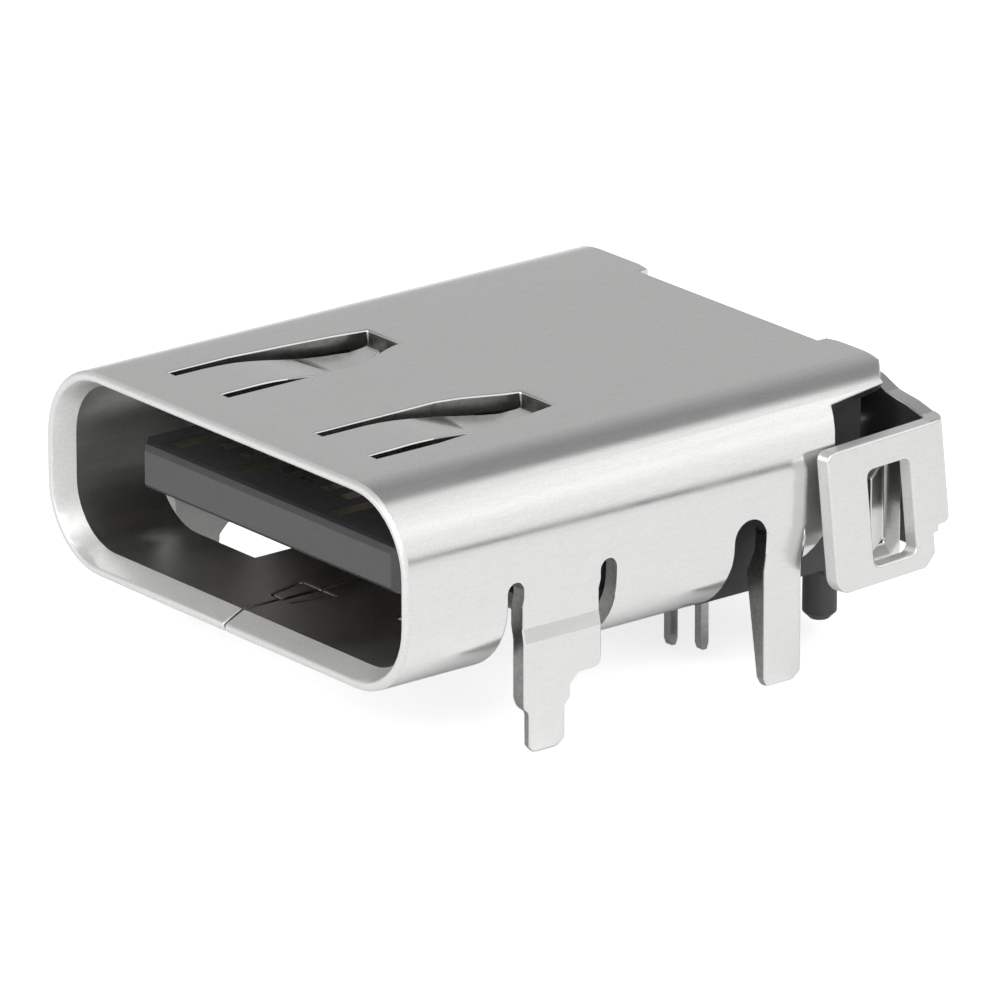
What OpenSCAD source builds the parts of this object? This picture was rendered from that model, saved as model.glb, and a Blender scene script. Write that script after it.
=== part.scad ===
// Board socket for a 24-contact USB-C plug, through-hole shell legs, long body.
// Lengths in millimetres. The origin is the middle of the mouth, in the plane of
// the shell's front rim. The plug enters towards +Y and the board lies below, at -Z.

/* [Shell] */
// Outside width of the folded shell
shell_w = 8.94; // [8.8:0.02:9.2]
// Outside height of the folded shell
shell_h = 3.28; // [3.2:0.02:3.4]
// Outside radius of the shell's four long corners
shell_r = 1.28; // [1.2:0.02:1.4]
// Thickness of the shell's sheet
shell_t = 0.3; // [0.26:0.01:0.32]
// Distance from the rim to the rear edge of the top panel
top_len = 9.65; // [9.62:0.01:9.75]
// How far the bottom panel stops short of the top panel's rear edge
floor_back = 3.35; // [3.3:0.01:3.5]
// How far the upper side walls stop short of the top panel's rear edge
side_back = 1.35; // [1.2:0.05:1.5]
// Rounding of the rim's outer edge
rim_r = 0.08; // [0.04:0.01:0.1]
// Width of the chamfer inside the rim that guides the plug
lead_w = 0.16; // [0.12:0.01:0.2]
// Depth of the chamfer inside the rim
lead_depth = 0.36; // [0.2:0.02:0.6]
// Width of the gap along the seam under the shell
seam_gap = 0.03; // [0.02:0.01:0.05]
// Width of the seam's dovetail at its neck
dovetail_neck = 0.5; // [0.4:0.05:0.6]
// Width of the seam's dovetail at its head
dovetail_head = 0.8; // [0.7:0.05:1]
// Length of each dovetail along the seam
dovetail_len = 0.7; // [0.5:0.05:0.8]
// Distance from the rim to the front dovetail
dovetail_front = 1.1; // [0.9:0.05:1.2]
// Distance from the rear dovetail to the floor's rear edge
dovetail_back = 1.2; // [1.1:0.05:1.4]

/* [Shell springs] */
// Distance from the rim to the root of the two springs in the top panel
spring_front = 0.93; // [0.8:0.05:1.1]
// Distance from the rim to the rear edge of the spring openings
spring_rear = 4.55; // [4.4:0.05:4.8]
// Distance from the middle to the inner edge of each opening
spring_in = 1.06; // [0.9:0.02:1.1]
// Width of each opening where the spring is rooted
spring_open_w = 1.52; // [1.4:0.02:1.6]
// Width of the slits beside the spring at its root
slit_w = 0.2; // [0.16:0.01:0.22]
// Width of the slits beside the spring's tip
tip_slit_w = 0.22; // [0.16:0.01:0.26]
// Width of the spring at its tip
spring_tip_w = 0.36; // [0.3:0.02:0.4]
// Gap between the spring's tip and the rear edge of its opening
spring_tip_gap = 0.2; // [0.15:0.01:0.3]
// How far the spring sinks below the top panel
spring_sink = 0.22; // [0.18:0.01:0.26]
// How far the tip of the spring curls up again
spring_curl = 0.18; // [0.14:0.01:0.18]

/* [Shell legs] */
// Height of the shell's underside above the board
board_gap = 0.11; // [0.08:0.01:0.16]
// Length of the four shell legs below the board's top face
leg_below = 1.11; // [0.91:0.05:1.41]
// Distance from the rim to the front edge of the front legs
front_leg_y = 2.24; // [2.15:0.01:2.4]
// Width of the front legs above the board
front_leg_w = 1.48; // [1.4:0.02:1.56]
// Width of the front legs below their shoulder
front_tine_w = 0.88; // [0.8:0.02:1]
// Width of the slots on both sides of the front legs
leg_slot_w = 0.3; // [0.26:0.01:0.34]
// Height of the slots' round tops below the middle of the socket
slot_top = 0.08; // [0.04:0.01:0.12]
// Distance from the middle to the inner end of the front legs' cut-outs
leg_blank_x = 1.75; // [1.6:0.05:2]
// Distance from the front edge of the rear legs to the top panel's rear edge
rear_leg_back = 2.7; // [2.66:0.01:2.72]
// Width of the rear legs
rear_leg_w = 0.74; // [0.7:0.01:0.78]
// Width of the slot in front of the rear legs
rear_slot_w = 0.62; // [0.56:0.01:0.64]
// Thickness of every shell leg at its tip
leg_tip_t = 0.16; // [0.12:0.01:0.2]

/* [Shell rear] */
// Angle above the horizontal where the rear of the long corners is cut off
lip_angle = 44; // [40:1:50]
// How far the cut edge of the long corners climbs towards the rear, in degrees
lip_rise = 7; // [5:1:9]
// Inner end of the right-hand tab at the rear of the top panel
tab_x = 2.4; // [2.3:0.05:2.5]
// Inner end of the left-hand tab, which is the wider one
left_tab_x = 1.9; // [1.8:0.05:2]
// Angle above the horizontal where the rear tabs end on the long corners
tab_angle = 55; // [52:1:60]
// How far the rear tabs stand out behind the top panel
tab_out = 0.29; // [0.22:0.01:0.29]
// Rounding of the rear tabs' upper edge
tab_r = 0.1; // [0.06:0.01:0.12]
// Height of the ear that passes behind the shield's arm, above the middle
ear_up = 0.62; // [0.56:0.01:0.66]
// Depth of the notch between the rear leg and the ear, below the middle
ear_notch = 0.62; // [0.56:0.01:0.7]
// How far the ear stops short of the top panel's rear edge
ear_back = 0.05; // [0.03:0.01:0.1]
// Distance from the steep face of the latch hook to the top panel's rear edge
hook_back = 0.99; // [0.96:0.01:1.02]
// Gap between the latch hook and the edges of the arm's window
hook_gap = 0.14; // [0.12:0.01:0.18]
// How far the latch hook stands out of the ear
hook_out = 0.4; // [0.36:0.01:0.44]

/* [Rear shield] */
// Thickness of the rear shield's sheet
shield_t = 0.3; // [0.26:0.01:0.32]
// Distance from an arm to the foot of the slope in the rear wall's upper edge
wall_low_in = 0.92; // [0.85:0.01:1]
// Width of that slope
wall_slope_w = 1; // [0.9:0.02:1.1]
// Gap between the upper row's tails and the shield's rear wall
shield_gap = 0.09; // [0.08:0.01:0.12]
// Gap between the shell's side and the shield's arm at its top
arm_gap = 0.1; // [0.08:0.01:0.14]
// Distance from the front edge of the arms to the top panel's rear edge
arm_back = 1.89; // [1.86:0.01:1.94]
// Height of the arms' top edge above the middle
arm_top = 0.94; // [0.9:0.01:0.97]
// Depth of the arms' bottom edge below the middle
arm_bottom = 1.33; // [1.3:0.01:1.38]
// Angle at which the arms lean out towards the board
arm_lean = 4.5; // [3.5:0.25:5]
// Angle at which the whole shield leans back
shield_tilt = 2.5; // [1.5:0.25:3]
// Outside radius of the bend between arm and rear wall
shield_r = 0.42; // [0.38:0.01:0.46]
// Width of the window in each arm
window_w = 0.84; // [0.82:0.01:0.94]
// Height of the window in each arm
window_h = 1.52; // [1.48:0.01:1.55]
// Height of the window's top edge above the middle
window_top = 0.48; // [0.46:0.01:0.5]
// Depth of the rear wall's bottom edge below the middle, at the bends
shield_step = 0.72; // [0.68:0.01:0.76]
// Depth of the rear wall's bottom edge below the middle, between the bends
shield_bottom = 1.32; // [1.15:0.01:1.34]

/* [Tongue] */
// Width of the tongue
tongue_w = 6.69; // [6.64:0.01:6.72]
// Thickness of the tongue
tongue_t = 0.7; // [0.68:0.01:0.74]
// Distance from the rim to the tip of the tongue
tongue_front = 0.82; // [0.78:0.01:0.9]
// Chamfer on the front corners of the tongue, seen from above
tongue_corner = 0.3; // [0.25:0.01:0.34]
// Size of the chamfer around the tongue's tip
tongue_chamfer = 0.08; // [0.05:0.01:0.1]
// Length of the tongue's thick root in front of the wall that closes the mouth
root_len = 1; // [0.9:0.02:1.1]
// Width of the tongue's thick root
root_w = 7.2; // [7.1:0.02:7.4]
// Thickness of the tongue's root
root_t = 1.2; // [1.14:0.02:1.26]
// Distance from the rim to the latch notches in the tongue's sides
notch_front = 2.9; // [2.8:0.05:3]
// Length of the latch notches
notch_len = 0.75; // [0.6:0.05:0.85]
// Depth of the latch notches
notch_depth = 0.26; // [0.24:0.01:0.28]

/* [Moulded base] */
// How far the wall that closes the mouth reaches over the shell's floor
flange_lap = 0.2; // [0.15:0.01:0.25]
// How far the base stops short of the top panel's rear edge
base_back = 0.05; // [0.03:0.01:0.07]
// Width of the base behind the shell's floor
base_w = 7; // [6.8:0.05:7.1]
// Gap between the base and the shell around it
mould_gap = 0.01; // [0.01:0.01:0.03]
// Distance between the two locating posts
post_pitch = 5.78; // [5.74:0.01:5.82]
// Distance from the locating posts to the base's rear face
post_back = 0.28; // [0.28:0.01:0.32]
// Radius of the locating posts
post_r = 0.27; // [0.25:0.01:0.28]
// Length of the locating posts below the board's top face
post_below = 0.92; // [0.82:0.02:1]
// Size of the chamfer on the posts' tips
post_chamfer = 0.12; // [0.08:0.01:0.16]

/* [Contacts] */
// Distance between neighbouring contacts
pitch = 0.5; // [0.49:0.005:0.505]
// Number of contacts in each row
row_count = 12; // [12:1:12]
// Width of a contact in the tongue
touch_w = 0.25; // [0.22:0.01:0.28]
// Width of a contact's solder tail
tail_w = 0.2; // [0.16:0.01:0.2]
// Thickness of the contacts
contact_t = 0.12; // [0.1:0.01:0.14]
// Distance from the rim to the early contacts, which carry ground and supply
early_front = 1.2; // [1.18:0.01:1.24]
// Distance from the rim to the signal contacts
signal_front = 1.72; // [1.65:0.01:1.8]
// Outside radius of the bends in the contacts
contact_r = 0.2; // [0.18:0.01:0.22]
// Gap round each contact where it passes through the base
contact_gap = 0.01; // [0.01:0.005:0.02]
// Gap between the base's rear face and the upper row's tails
tail_gap = 0.14; // [0.12:0.01:0.16]
// Length of the upper row's tails along the board
upper_foot = 0.86; // [0.76:0.02:0.96]
// Distance from the floor's rear edge to the upright part of the lower row's tails
lower_back = 0.86; // [0.84:0.01:0.9]
// Length of the lower row's tails along the board
lower_foot = 1.14; // [1:0.02:1.2]

/* [Middle plate and ground plates] */
// Thickness of the middle plate
plate_t = 0.15; // [0.12:0.01:0.16]
// Width of the middle plate
plate_w = 6.4; // [6.3:0.02:6.44]
// Distance from the floor's rear edge to the first and third board pins
pin_back = 0.38; // [0.36:0.01:0.4]
// How much further back the second and fourth board pins stand
pin_step = 0.24; // [0.2:0.01:0.26]
// Width of the middle plate's four board pins
pin_w = 0.15; // [0.12:0.01:0.15]
// Length of the board pins below the board's top face
pin_below = 0.87; // [0.75:0.02:1]
// Thickness of the ground plates on the tongue's root
ground_t = 0.12; // [0.1:0.01:0.14]
// Width of the ground plates
ground_w = 6; // [5.8:0.05:6.2]
// Length of each rib across the ground plates, and its distance from the middle
ground_rib_w = 1.2; // [1:0.05:1.3]
// Distance of the ribs behind the front of the tongue's root
ground_rib_back = 0.45; // [0.4:0.01:0.5]
// Radius of the ribs that touch the plug on the ground plates
ground_rib_r = 0.1; // [0.08:0.01:0.12]

/* [Hidden] */
$fn = 48;
// everything that is cut right through is cut with this much to spare
past = 4;
// heights
shell_top = shell_h / 2;
inner_top = shell_top - shell_t;
board_z = -shell_top - board_gap;
leg_tip_z = board_z - leg_below;
// middle of a long corner's bend
bend_x = shell_w / 2 - shell_r;
bend_z = shell_top - shell_r;
inner_x = shell_w / 2 - shell_t;
inner_r = shell_r - shell_t;
spring_tip_x = spring_in + spring_open_w * 0.54;
spring_tip_y = spring_rear - spring_tip_gap;
slot_r = leg_slot_w / 2;
rear_slot_r = rear_slot_w / 2;
// places along the socket that follow from the rear edge of the top panel
floor_len = top_len - floor_back;
side_len = top_len - side_back;
rear_leg_y = top_len - rear_leg_back;
rear_slot_y = rear_leg_y - rear_slot_w;
ear_len = top_len - ear_back;
hook_y = top_len - hook_back;
arm_front = top_len - arm_back;
base_rear = top_len - base_back;
flange_front = floor_len - flange_lap;
root_front = flange_front - root_len;
post_y = base_rear - post_back;
upper_drop = base_rear + tail_gap;
upper_tail = upper_drop + upper_foot;
lower_drop = floor_len + lower_back;
lower_tail = lower_drop + lower_foot;
// front legs
shoulder_z = board_z;
dish = 0.05;
dish_top = bend_z;
tine_taper = 0.1;
tine_z = board_z - 0.36;
tip_cut = 0.12;
// rear shield
arm_x = shell_w / 2 + arm_gap + shield_t;
shield_y = upper_drop + contact_t + shield_gap;
shield_rear = shield_y + shield_t;
arm_rear = shield_rear - shield_r;
window_front = hook_y - hook_gap;
// the latch hook stands in the middle of the window, which tilts with the shield
hook_h = window_h - 2 * hook_gap;
hook_len = window_w - 2 * hook_gap;
hook_z = window_top - window_h / 2 - (shield_rear - hook_y) * sin(shield_tilt);
window_r = 0.12;
arm_r = 0.28;
foot_in = 0.1;
lip_half = 1.6;
lip_r = shield_t + 0.05;
lip_gap = 0.03;
lip_len = shield_rear - lip_r - base_rear - lip_gap;
// x of the points where the rear wall's upper edge starts and stops falling to the arms
wall_low_x = arm_x - wall_low_in;
wall_high_x = wall_low_x - wall_slope_w;
// tongue and carriers
carrier_w = (row_count - 1) * pitch + 0.46;
carrier_front = tongue_front + 0.2;
carrier_rear = base_rear - 0.6;
plate_rear = floor_len + 0.15;
lower_carrier_rear = plate_rear;
row_half = (row_count - 1) / 2;
// base
base_bottom = -shell_top - mould_gap;
pocket_top = -1.2;
pocket_front = lower_drop - 0.14;
pocket_rear = lower_tail + 0.5;
flange_t = 0.26;
rib_x = inner_x - mould_gap;
pad_in = 1;
pad_w = 1;
pad_front = floor_len + 0.14;
pad_len = 0.5;
// middle plate pins, each between two contacts
pin_pos = [
    [5 * pitch, floor_len + pin_back],
    [5.9 * pitch, floor_len + pin_back + pin_step]
];
pin_tip_z = board_z - pin_below;
// ground plates
ground_front = root_front - ground_t;
ground_lap = 0.15;
ground_rear = flange_front + ground_lap;

metal = [0.74, 0.73, 0.71];
shield_metal = [0.78, 0.77, 0.75];
black = [0.07, 0.07, 0.075];
plate_metal = [0.62, 0.61, 0.58];
gold = [0.83, 0.68, 0.36];

// ---- helpers

// children are drawn in X and Z and run along Y from y0 to y1
module along_y(y0, y1) {
    translate([0, y1, 0])
    rotate([90, 0, 0])
    linear_extrude(y1 - y0)
    children();
}

// children are drawn in Y and Z and run along X from x0 to x1
module along_x(x0, x1) {
    translate([x0, 0, 0])
    rotate([90, 0, 90])
    linear_extrude(x1 - x0)
    children();
}

module both_sides() {
    children();
    mirror([1, 0, 0])
    children();
}

// a box between two corners
module block(low, high) {
    translate(low)
    cube(high - low);
}

// a quarter of a ring around the origin, in the quadrant given by the signs
module quarter_ring(r_out, t, side_x, side_y) {
    intersection() {
        difference() {
            circle(r = r_out);
            circle(r = r_out - t);
        }
        translate([side_x > 0 ? 0 : -r_out, side_y > 0 ? 0 : -r_out])
        square(r_out);
    }
}

module rounded_rect(w, h, r) {
    square([w - 2 * r, h], center = true);
    square([w, h - 2 * r], center = true);
    for (x = [-1, 1], y = [-1, 1])
        translate([x * (w / 2 - r), y * (h / 2 - r)])
        circle(r = r);
}

// ---- shell

// section of the sheet, outer face at 0, running back from the rim
module wall_section() {
    translate([-rim_r, rim_r])
    circle(r = rim_r, $fn = 24);
    polygon([
        [-rim_r, 0], [-rim_r, rim_r], [0, rim_r], [0, top_len],
        [-shell_t, top_len], [-shell_t, lead_depth], [-shell_t + lead_w, 0]
    ]);
}

module flat_wall(w) {
    rotate([0, -90, 0])
    linear_extrude(w, center = true)
    wall_section();
}

module long_corner() {
    translate([bend_x, 0, -bend_z])
    rotate([-90, 0, 0])
    rotate_extrude(angle = 90)
    translate([shell_r, 0])
    wall_section();
}

module shell_tube() {
    for (up = [0, 1])
        mirror([0, 0, up]) {
            translate([0, 0, shell_top])
            flat_wall(2 * bend_x);
            both_sides()
            long_corner();
        }
    both_sides()
    translate([shell_w / 2, 0, 0])
    rotate([0, 90, 0])
    flat_wall(2 * bend_z);
}

// y at a share of the length of the spring's opening
function spring_y(share) = spring_front + share * (spring_rear - spring_front);

module spring_opening() {
    rear_in = spring_tip_x - spring_tip_w / 2 - tip_slit_w;
    rear_out = spring_tip_x + spring_tip_w / 2 + tip_slit_w;
    out = spring_in + spring_open_w;
    polygon([
        [spring_in, spring_y(0)], [spring_in, spring_y(0.64)],
        [spring_in + 0.09, spring_y(0.75)], [rear_in - 0.06, spring_y(0.93)],
        [rear_in, spring_y(1)], [rear_out, spring_y(1)], [rear_out + 0.1, spring_y(0.83)],
        [out - 0.1, spring_y(0.6)], [out, spring_y(0.32)], [out, spring_y(0)]
    ]);
}

module spring_plan() {
    in = spring_in + slit_w;
    out = spring_in + spring_open_w - slit_w;
    tip_in = spring_tip_x - spring_tip_w / 2;
    tip_out = spring_tip_x + spring_tip_w / 2;
    polygon([
        [in, spring_y(-0.08)], [in, spring_y(0.6)], [in + 0.15, spring_y(0.74)],
        [tip_in, spring_tip_y], [tip_out, spring_tip_y], [tip_out + 0.12, spring_y(0.8)],
        [out - 0.16, spring_y(0.57)], [out - 0.04, spring_y(0.3)], [out, spring_y(0.13)],
        [out, spring_y(-0.08)]
    ]);
}

// how far the spring lies below the panel at the share s of its length
function sink(s) =
    spring_sink * pow(sin((min(max(s, 0.2), 0.85) - 0.2) / 0.65 * 90), 2)
    - spring_curl * pow(max(s - 0.85, 0) / 0.15, 2);

module spring_side() {
    steps = 14;
    polygon(concat(
        [[spring_y(-0.1), shell_top]],
        [for (i = [0:steps]) [spring_y(i / steps), shell_top - sink(i / steps)]],
        [for (i = [steps:-1:0]) [spring_y(i / steps), inner_top - sink(i / steps)]],
        [[spring_y(-0.1), inner_top]]
    ));
}

module spring() {
    intersection() {
        along_x(0, shell_w / 2)
        spring_side();
        linear_extrude(past)
        spring_plan();
    }
}

// the thin saw-like line where the two edges of the sheet meet
module seam_step(from, to) {
    run = to - from;
    translate([from[0], from[1], 0])
    rotate([0, 0, atan2(run[1], run[0])])
    translate([-seam_gap / 2, -seam_gap / 2, -past])
    cube([norm(run) + seam_gap, seam_gap, past]);
}

module seam() {
    neck = dovetail_neck / 2;
    head = dovetail_head / 2;
    first = dovetail_front;
    second = floor_len - dovetail_back - dovetail_len;
    path = [
        [0, -1], [0, first], [-neck, first], [-head, first + dovetail_len],
        [head, first + dovetail_len], [neck, first], [0.05, first], [0.05, second],
        [-neck, second], [-head, second + dovetail_len], [head, second + dovetail_len],
        [neck, second], [0.1, second], [0.1, floor_len + past]
    ];
    for (i = [0, 1, 2, 3, 4])
        seam_step(path[i], path[i + 1]);
    for (i = [6, 7, 8, 9, 10, 12])
        seam_step(path[i], path[i + 1]);
}

// outline, seen from the side, of what is cut away around a front leg
module front_leg_gap() {
    rear = front_leg_y + front_leg_w;
    translate([front_leg_y - leg_slot_w, -past])
    square([leg_slot_w, past - slot_top - slot_r]);
    translate([rear, -past])
    square([leg_slot_w, past - slot_top - slot_r]);
    translate([front_leg_y - slot_r, -slot_top - slot_r])
    circle(r = slot_r);
    translate([rear + slot_r, -slot_top - slot_r])
    circle(r = slot_r);
    translate([front_leg_y - slot_r, -past])
    square([front_leg_w + leg_slot_w, past - bend_z]);
}

module front_leg_outline() {
    rear = front_leg_y + front_leg_w;
    tine = front_leg_y + front_tine_w;
    corner = 0.16;
    polygon([
        [front_leg_y, -bend_z + 0.1], [rear, -bend_z + 0.1],
        [rear, shoulder_z + corner], [rear - corner, shoulder_z],
        [tine + corner, shoulder_z], [tine, shoulder_z - corner],
        [tine, tine_z], [tine - tine_taper, tine_z - tine_taper],
        [tine - tine_taper, leg_tip_z + tip_cut], [tine - tine_taper - tip_cut, leg_tip_z],
        [front_leg_y + tine_taper + tip_cut, leg_tip_z],
        [front_leg_y + tine_taper, leg_tip_z + tip_cut],
        [front_leg_y + tine_taper, tine_z - tine_taper], [front_leg_y, tine_z]
    ]);
    translate([rear - corner, shoulder_z + corner])
    circle(r = corner);
}

// edge view of a front leg: a shallow dish, then the tip thinned from inside
module front_leg_edge() {
    out = shell_w / 2;
    polygon([
        [out, -bend_z + 0.1], [out, -dish_top], [out - dish, -dish_top - 0.16],
        [out - dish, -dish_top - 0.5], [out, -dish_top - 0.72], [out, leg_tip_z + tip_cut],
        [out - 0.05, leg_tip_z], [out - leg_tip_t, leg_tip_z],
        [out - leg_tip_t, tine_z - tine_taper], [out - shell_t, tine_z + tine_taper],
        [out - shell_t, -dish_top - 0.72], [out - shell_t - dish, -dish_top - 0.5],
        [out - shell_t - dish, -dish_top - 0.16], [out - shell_t, -dish_top],
        [out - shell_t, -bend_z + 0.1]
    ]);
}

module front_leg() {
    intersection() {
        along_x(0, shell_w)
        front_leg_outline();
        along_y(0, top_len)
        front_leg_edge();
    }
}

module rear_leg_outline() {
    rear = rear_leg_y + rear_leg_w;
    polygon([
        [rear_leg_y, -bend_z + 0.1], [rear, -bend_z + 0.1],
        [rear, leg_tip_z + tip_cut], [rear - 0.16, leg_tip_z],
        [rear_leg_y + 0.06, leg_tip_z], [rear_leg_y, leg_tip_z + tip_cut]
    ]);
}

// edge view of a rear leg: it follows the wall, then hangs straight and thins out
module rear_leg_edge() {
    leg_bend_z = 1;
    out = shell_w / 2;
    set_in = 0.08;
    root = shell_t + 0.14;
    polygon([
        [out, -bend_z + 0.1], [out, -bend_z], [out - 0.03, -0.7], [out - set_in, -leg_bend_z],
        [out - set_in, leg_tip_z], [out - set_in - leg_tip_t, leg_tip_z],
        [out - set_in - root, -leg_bend_z - 0.1], [out - 0.03 - shell_t, -0.7],
        [out - shell_t, -bend_z], [out - shell_t, -bend_z + 0.1]
    ]);
}

module rear_leg() {
    intersection() {
        along_x(0, shell_w)
        rear_leg_outline();
        along_y(0, top_len)
        rear_leg_edge();
    }
}

// outline, seen from the side, of what is cut away below and behind the rear slot
module rear_gap() {
    rear = rear_leg_y + rear_leg_w;
    floor_corner_z = shell_top - 0.59;
    translate([rear_slot_y, -past])
    square([rear_slot_w, past - slot_top - rear_slot_r]);
    translate([rear_slot_y + rear_slot_r, -slot_top - rear_slot_r])
    circle(r = rear_slot_r);
    polygon([
        [floor_len, -past], [floor_len, -floor_corner_z], [rear_slot_y, 0.3 - floor_corner_z],
        [rear_slot_y, -past]
    ]);
    translate([rear_leg_y - 0.1, -past])
    square([rear_leg_w + 0.1, past - bend_z]);
    polygon([
        [rear, -past], [rear, -1], [rear + 0.14, -0.94], [rear + 0.28, -0.8],
        [rear + 0.38, -ear_notch - 0.05], [rear + 0.48, -ear_notch],
        [rear + 0.48, -bend_z], [top_len + past, -bend_z], [top_len + past, -past]
    ]);
}

// flap behind the notch: it hangs straight down inside the shield's arm
module ear() {
    front = rear_leg_y + rear_leg_w + 0.46;
    low = -arm_bottom;
    along_x(shell_w / 2 - shell_t, shell_w / 2)
    polygon([
        [front, -bend_z + 0.1], [front, -ear_notch], [front + 0.2, -ear_notch - 0.04],
        [front + 0.3, -ear_notch - 0.16], [front + 0.32, low + 0.1], [front + 0.42, low],
        [ear_len - 0.1, low], [ear_len, low + 0.1], [ear_len, -bend_z + 0.1]
    ]);
}

// what is cut off the long upper corners behind the side walls
module lip_cut() {
    reach = 3;
    slant = 0.24;
    intersection() {
        translate([bend_x, side_len, bend_z])
        rotate([0, -lip_angle, 0])
        rotate([lip_rise, 0, 0])
        block([0, -1, -reach], [reach, reach, 0]);
        along_x(0, shell_w)
        polygon([
            [side_len, ear_up], [side_len + slant, shell_top - 0.3],
            [side_len + slant, past], [top_len + past, past], [top_len + past, ear_up]
        ]);
    }
}

module hook_plan() {
    out = shell_w / 2;
    rear = hook_y + hook_len;
    polygon([
        [out + hook_out, hook_y], [out, rear], [out, rear + 0.1],
        [out - shell_t, rear + 0.1], [out - shell_t, rear], [out + hook_out - shell_t, hook_y]
    ]);
}

module hook() {
    translate([0, 0, hook_z - hook_h / 2])
    linear_extrude(hook_h)
    hook_plan();
}

// opening behind the hook, which is lanced out of the ear
module hook_opening() {
    block([bend_x, hook_y - 0.04, hook_z - hook_h / 2 - 0.04],
        [shell_w, hook_y + hook_len + 0.05, hook_z + hook_h / 2 + 0.04]);
}

// section of a rear tab, outer face at 0, running back from the top panel
module tab_section() {
    root = top_len - 0.25;
    rear = top_len + tab_out;
    polygon([
        [0, root], [0, rear - tab_r], [-tab_r, rear - tab_r],
        [-tab_r, rear], [-shell_t, rear], [-shell_t, root]
    ]);
    translate([-tab_r, rear - tab_r])
    circle(r = tab_r, $fn = 24);
}

// a tab whose inner end stands at the given distance from the middle
module rear_tab(inner) {
    rear = top_len + tab_out;
    outer = bend_x + shell_r * cos(tab_angle);
    difference() {
        union() {
            translate([(inner + bend_x) / 2, 0, shell_top])
            rotate([0, -90, 0])
            linear_extrude(bend_x - inner, center = true)
            tab_section();
            translate([bend_x, 0, bend_z])
            rotate([-90, -90, 0])
            rotate_extrude(angle = 90 - tab_angle)
            translate([shell_r, 0])
            tab_section();
        }
        // both ends of the tab are cut at a slant, the outer one down to its root
        linear_extrude(past)
        polygon([
            [inner - 0.1, rear + 0.1], [inner - 0.1, rear - 0.12], [inner, rear - 0.12],
            [inner + 0.42, rear], [outer - 0.4, rear], [outer, top_len - 0.02],
            [outer + 0.1, top_len - 0.02], [outer + 0.1, rear + 0.1]
        ]);
    }
}

module shell() {
    color(metal) {
        difference() {
            shell_tube();
            both_sides()
            linear_extrude(past)
            spring_opening();
            seam();
            both_sides()
            along_x(leg_blank_x, shell_w)
            front_leg_gap();
            along_x(-shell_w, shell_w)
            rear_gap();
            both_sides()
            lip_cut();
            // the ear ends before the shield's rear wall
            both_sides()
            block([bend_x, ear_len, -past], [shell_w, top_len + past, ear_up]);
            both_sides()
            hook_opening();
        }
        both_sides() {
            spring();
            front_leg();
            rear_leg();
            difference() {
                ear();
                hook_opening();
            }
            hook();
        }
        rear_tab(tab_x);
        mirror([1, 0, 0])
        rear_tab(left_tab_x);
    }
}

// ---- rear shield

module arm_outline() {
    low = arm_r;
    high = 0.16;
    rear = arm_rear - foot_in;
    difference() {
        union() {
            translate([arm_front + low, -arm_bottom])
            square([rear - arm_front - low, low + 0.1]);
            translate([arm_front + high, -arm_bottom + low])
            square([rear - arm_front - high, arm_top + arm_bottom - low]);
            translate([rear - 0.1, -shield_step - 0.1])
            square([foot_in + 0.1, arm_top + shield_step + 0.1]);
            translate([arm_front, -arm_bottom + low])
            square([low + high, arm_top + arm_bottom - low - high]);
            translate([arm_front + low, -arm_bottom + low])
            circle(r = low);
            translate([arm_front + high, arm_top - high])
            circle(r = high);
        }
        // bevel at the arm's lower rear corner
        polygon([
            [rear - 0.2, -arm_bottom - 0.1], [rear - 0.2, -arm_bottom],
            [rear, -arm_bottom + 0.2], [rear + 0.1, -arm_bottom + 0.2],
            [rear + 0.1, -arm_bottom - 0.1]
        ]);
        translate([window_front + window_w / 2, window_top - window_h / 2])
        rounded_rect(window_w, window_h, window_r);
    }
}

// one arm with its bend, upright, outer face at arm_x
module upright_arm() {
    along_x(arm_x - shield_t, arm_x)
    arm_outline();
    translate([arm_x - shield_r, arm_rear, -shield_step])
    linear_extrude(arm_top + shield_step) {
        quarter_ring(shield_r, shield_t, 1, 1);
        // the first of the flat wall behind the bend
        translate([-0.15, shield_r - shield_t])
        square([0.16, shield_t]);
    }
}

module leaning_arm() {
    translate([arm_x, 0, arm_top])
    rotate([0, -arm_lean, 0])
    translate([-arm_x, 0, -arm_top])
    upright_arm();
}

// outline of the flat rear wall, seen from behind, right half
module rear_wall_half() {
    top_x = arm_x - shield_r * cos(arm_lean);
    top_z = arm_top - shield_r * sin(arm_lean);
    fall = arm_top + shield_step;
    low_x = top_x + fall * sin(arm_lean);
    low_z = top_z - fall * cos(arm_lean);
    polygon([
        [0, inner_top - lip_gap], [wall_high_x, inner_top - lip_gap - 0.02],
        [wall_high_x + 0.35, arm_top + 0.27], [wall_low_x - 0.3, arm_top + 0.12],
        [wall_low_x + 0.15, arm_top + 0.06], [top_x, top_z],
        [low_x, low_z], [low_x - 0.3, low_z], [low_x - 0.42, -shield_bottom], [0, -shield_bottom]
    ]);
}

module rear_shield() {
    lip_z = inner_top - lip_gap;
    color(shield_metal)
    translate([0, shield_rear, inner_top])
    rotate([shield_tilt, 0, 0])
    translate([0, -shield_rear, -inner_top]) {
        both_sides() {
            leaning_arm();
            difference() {
                along_y(shield_y, shield_rear)
                rear_wall_half();
                // the wall's upper edge is bent forward between the two lip ends
                block([-1, shield_y - 1, lip_z - lip_r], [lip_half, shield_rear + 1, shell_top]);
            }
        }
        translate([-lip_half, 0, 0])
        along_x(0, 2 * lip_half) {
            translate([shield_rear - lip_r, lip_z - lip_r])
            quarter_ring(lip_r, shield_t, 1, 1);
            translate([shield_rear - lip_r - lip_len, lip_z - shield_t])
            square([lip_len, shield_t]);
        }
    }
}

// ---- contacts

function contact_x(i) = (i - 1 - row_half) * pitch;
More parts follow.
